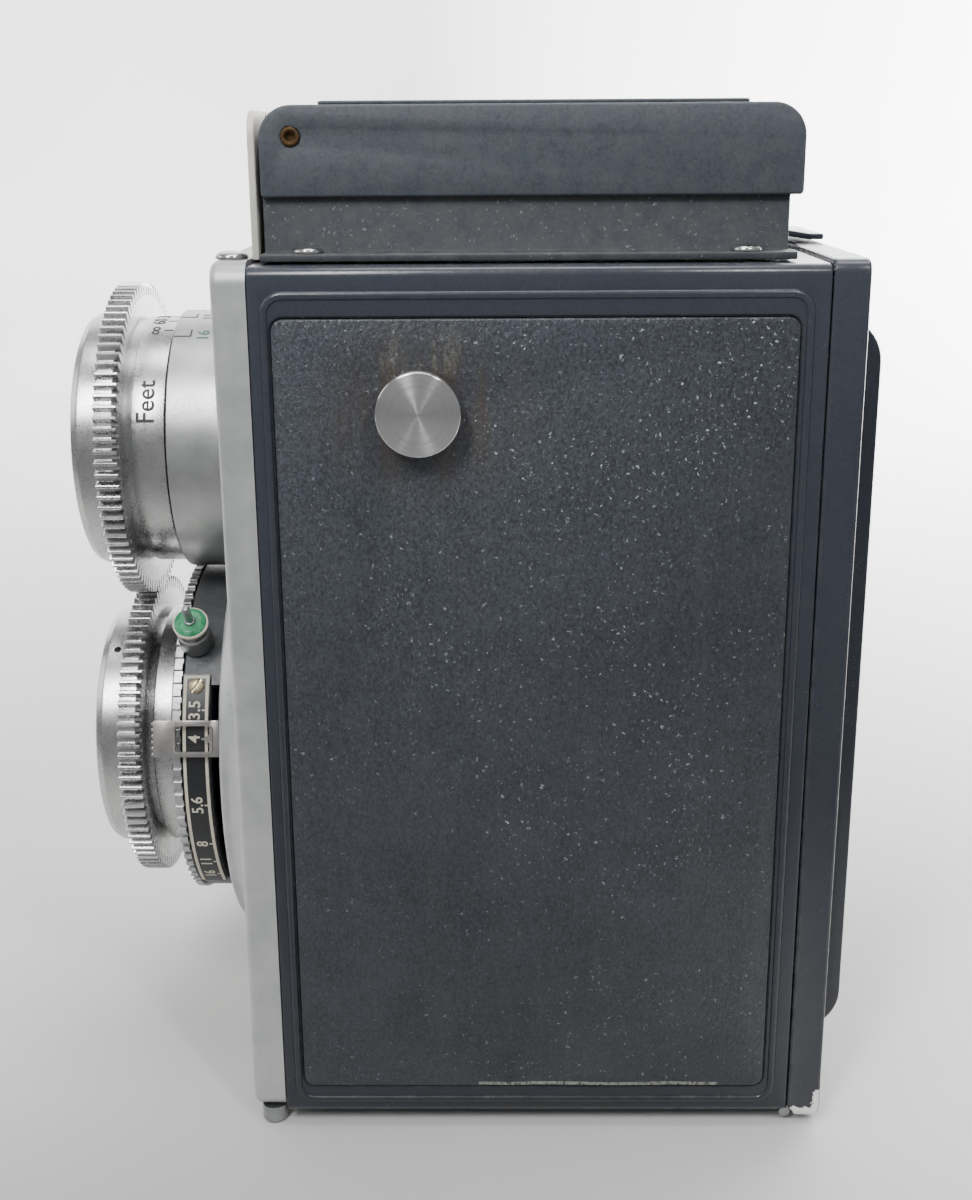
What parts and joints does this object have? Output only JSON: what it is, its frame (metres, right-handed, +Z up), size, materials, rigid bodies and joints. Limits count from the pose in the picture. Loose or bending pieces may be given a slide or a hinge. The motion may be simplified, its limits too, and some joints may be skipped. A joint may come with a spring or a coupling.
{
  "type": "twin lens reflex camera",
  "caption": "Boxy twin lens reflex film camera with gear-coupled lenses, folding viewing hood, hinged back, winding knob and tripod socket.",
  "frame": {"origin": "under the middle of the body's width and depth, on the plane that the tripod plate and front feet stand on", "axes": "+Z up, lenses facing -Y, width along X with the winding knob on the -X side"},
  "size_m": [0.0891, 0.1012, 0.1286],
  "materials": {
    "black_enamel": "gloss black stove enamel",
    "leatherette": "coarse grained black covering",
    "satin_silver": "fine speckled satin silver",
    "polished_metal": "turned and polished nickel plate",
    "steel": "plain steel",
    "brass": "tarnished brass",
    "optical_glass": "clear polished glass",
    "ground_glass": "frosted",
    "mirror_glass": "front silvered",
    "scale_black": "black scale with white lines and figures",
    "green_fibre": "green insulating fibre",
    "red_glass": "deep red"
  },
  "bodies": {
    "body": {"body_shell": "black_enamel", "front_plate": "satin_silver", "left_leatherette": "leatherette", "right_leatherette": "leatherette", "strap_stud_left": "polished_metal", "strap_stud_right": "polished_metal", "front_foot_left": "steel", "front_foot_right": "steel", "top_screw_left": "polished_metal", "top_screw_right": "polished_metal", "hood_screw_front_left": "polished_metal", "hood_screw_rear_left": "polished_metal", "hood_screw_front_right": "polished_metal", "hood_screw_rear_right": "polished_metal", "hood_base": "black_enamel", "name_plate": "satin_silver", "ground_glass": "ground_glass", "reflex_mirror": "mirror_glass", "film_gate": "black_enamel", "viewing_mount": "satin_silver", "shutter_case": "black_enamel", "aperture_scale_plate": "scale_black", "sync_post": "steel", "sync_insulator": "green_fibre", "sync_pin": "steel", "rear_lens": "optical_glass", "tripod_bush": "steel", "back_hinge_rod": "steel"},
    "viewing_ring": {"viewing_gear_ring": "polished_metal"},
    "viewing_cell": {"viewing_cell": "polished_metal", "viewing_lens": "optical_glass"},
    "taking_ring": {"taking_gear_ring": "polished_metal"},
    "taking_cell": {"taking_cell": "polished_metal", "taking_lens": "optical_glass"},
    "speed_ring": {"speed_ring": "polished_metal"},
    "aperture": {"aperture_lever": "polished_metal", "iris_ring": "steel"},
    "release": {"release_lever": "polished_metal"},
    "upper_blade": {"shutter_blade_upper": "steel"},
    "lower_blade": {"shutter_blade_lower": "steel"},
    "lid": {"hood_lid": "black_enamel", "hood_cap": "black_enamel", "lid_pivot_left": "brass", "lid_pivot_right": "brass"},
    "left_flap": {"left_flap": "black_enamel"},
    "right_flap": {"right_flap": "black_enamel"},
    "rear_flap": {"rear_flap": "black_enamel"},
    "magnifier": {"magnifier_frame": "black_enamel", "magnifier_lens": "optical_glass"},
    "back": {"back_cover": "black_enamel", "pressure_plate": "steel", "pressure_spring": "steel", "red_window": "red_glass"},
    "window_shutter": {"window_shutter": "steel"},
    "latch": {"back_latch": "black_enamel"},
    "knob": {"winding_knob": "polished_metal"},
    "takeup": {"takeup_spool": "steel"},
    "supply": {"supply_spool": "steel"},
    "upper_roller": {"upper_roller": "steel"},
    "lower_roller": {"lower_roller": "steel"}
  },
  "joints": [
    {"name": "focus_turn", "type": "hinge", "parent": "body", "child": "viewing_ring", "pos_m": [0, -0.054, 0.08455], "axis": [0, -1, 0], "range_deg": [0, 300]},
    {"name": "taking_ring_turn", "type": "hinge", "parent": "body", "child": "taking_ring", "pos_m": [0, -0.054, 0.04255], "axis": [0, -1, 0], "range_deg": [-300, 0]},
    {"name": "viewing_cell_advance", "type": "slide", "parent": "body", "child": "viewing_cell", "axis": [0, -1, 0], "range_m": [0, 0.003]},
    {"name": "taking_cell_advance", "type": "slide", "parent": "body", "child": "taking_cell", "axis": [0, -1, 0], "range_m": [0, 0.003]},
    {"name": "speed_turn", "type": "hinge", "parent": "body", "child": "speed_ring", "pos_m": [0, -0.0473, 0.04255], "axis": [0, -1, 0], "range_deg": [-120, 60]},
    {"name": "aperture_turn", "type": "hinge", "parent": "body", "child": "aperture", "pos_m": [0, -0.0423, 0.04255], "axis": [0, -1, 0], "range_deg": [-56, 10]},
    {"name": "release_press", "type": "hinge", "parent": "body", "child": "release", "pos_m": [0, -0.0438, 0.04255], "axis": [0, -1, 0], "range_deg": [0, 18], "stiffness_Nm_per_rad": 0.004},
    {"name": "upper_blade_turn", "type": "hinge", "parent": "body", "child": "upper_blade", "pos_m": [-0.00217, -0.0445, 0.05486], "axis": [0, -1, 0], "range_deg": [0, 54]},
    {"name": "lower_blade_turn", "type": "hinge", "parent": "body", "child": "lower_blade", "pos_m": [0.00217, -0.0445, 0.03024], "axis": [0, -1, 0], "range_deg": [0, 54]},
    {"name": "lid_open", "type": "hinge", "parent": "body", "child": "lid", "pos_m": [0, -0.02785, 0.1247], "axis": [1, 0, 0], "range_deg": [0, 90]},
    {"name": "left_flap_open", "type": "hinge", "parent": "body", "child": "left_flap", "pos_m": [0.0293, 0, 0.1192], "axis": [0, 1, 0], "range_deg": [0, 90]},
    {"name": "right_flap_open", "type": "hinge", "parent": "body", "child": "right_flap", "pos_m": [-0.0293, 0, 0.1192], "axis": [0, -1, 0], "range_deg": [0, 90]},
    {"name": "rear_flap_open", "type": "hinge", "parent": "body", "child": "rear_flap", "pos_m": [0, 0.0269, 0.1178], "axis": [-1, 0, 0], "range_deg": [0, 90]},
    {"name": "magnifier_swing", "type": "hinge", "parent": "lid", "child": "magnifier", "pos_m": [0, 0.00015, 0.1256], "axis": [-1, 0, 0], "range_deg": [0, 90]},
    {"name": "back_open", "type": "hinge", "parent": "body", "child": "back", "pos_m": [0, 0.0326, 0.00135], "axis": [-1, 0, 0], "range_deg": [0, 95]},
    {"name": "window_slide", "type": "slide", "parent": "back", "child": "window_shutter", "axis": [1, 0, 0], "range_m": [0, 0.011]},
    {"name": "latch_lift", "type": "hinge", "parent": "body", "child": "latch", "pos_m": [0, 0.02985, 0.11255], "axis": [1, 0, 0], "range_deg": [0, 60]},
    {"name": "knob_wind", "type": "hinge", "parent": "body", "child": "knob", "pos_m": [-0.043, 0.0175, 0.0818], "axis": [1, 0, 0], "continuous": true},
    {"name": "takeup_turn", "type": "hinge", "parent": "body", "child": "takeup", "pos_m": [0, 0.0175, 0.0818], "axis": [1, 0, 0], "continuous": true},
    {"name": "supply_turn", "type": "hinge", "parent": "body", "child": "supply", "pos_m": [0, -0.009, 0.0161], "axis": [1, 0, 0], "continuous": true},
    {"name": "upper_roller_turn", "type": "hinge", "parent": "body", "child": "upper_roller", "pos_m": [0, 0.026, 0.07405], "axis": [1, 0, 0], "continuous": true},
    {"name": "lower_roller_turn", "type": "hinge", "parent": "body", "child": "lower_roller", "pos_m": [0, 0.026, 0.00915], "axis": [1, 0, 0], "continuous": true}
  ],
  "couplings": [
    {"joint": "taking_ring_turn", "follows": "focus_turn", "ratio": -1},
    {"joint": "viewing_cell_advance", "follows": "focus_turn", "m_per_rad": 0.00057296},
    {"joint": "taking_cell_advance", "follows": "focus_turn", "m_per_rad": 0.00057296},
    {"joint": "upper_blade_turn", "follows": "release_press", "ratio": 3},
    {"joint": "lower_blade_turn", "follows": "release_press", "ratio": 3},
    {"joint": "left_flap_open", "follows": "lid_open", "ratio": 1},
    {"joint": "right_flap_open", "follows": "lid_open", "ratio": 1},
    {"joint": "rear_flap_open", "follows": "lid_open", "ratio": 1},
    {"joint": "magnifier_swing", "follows": "lid_open", "ratio": 1},
    {"joint": "knob_wind", "follows": "takeup_turn", "ratio": 1}
  ]
}
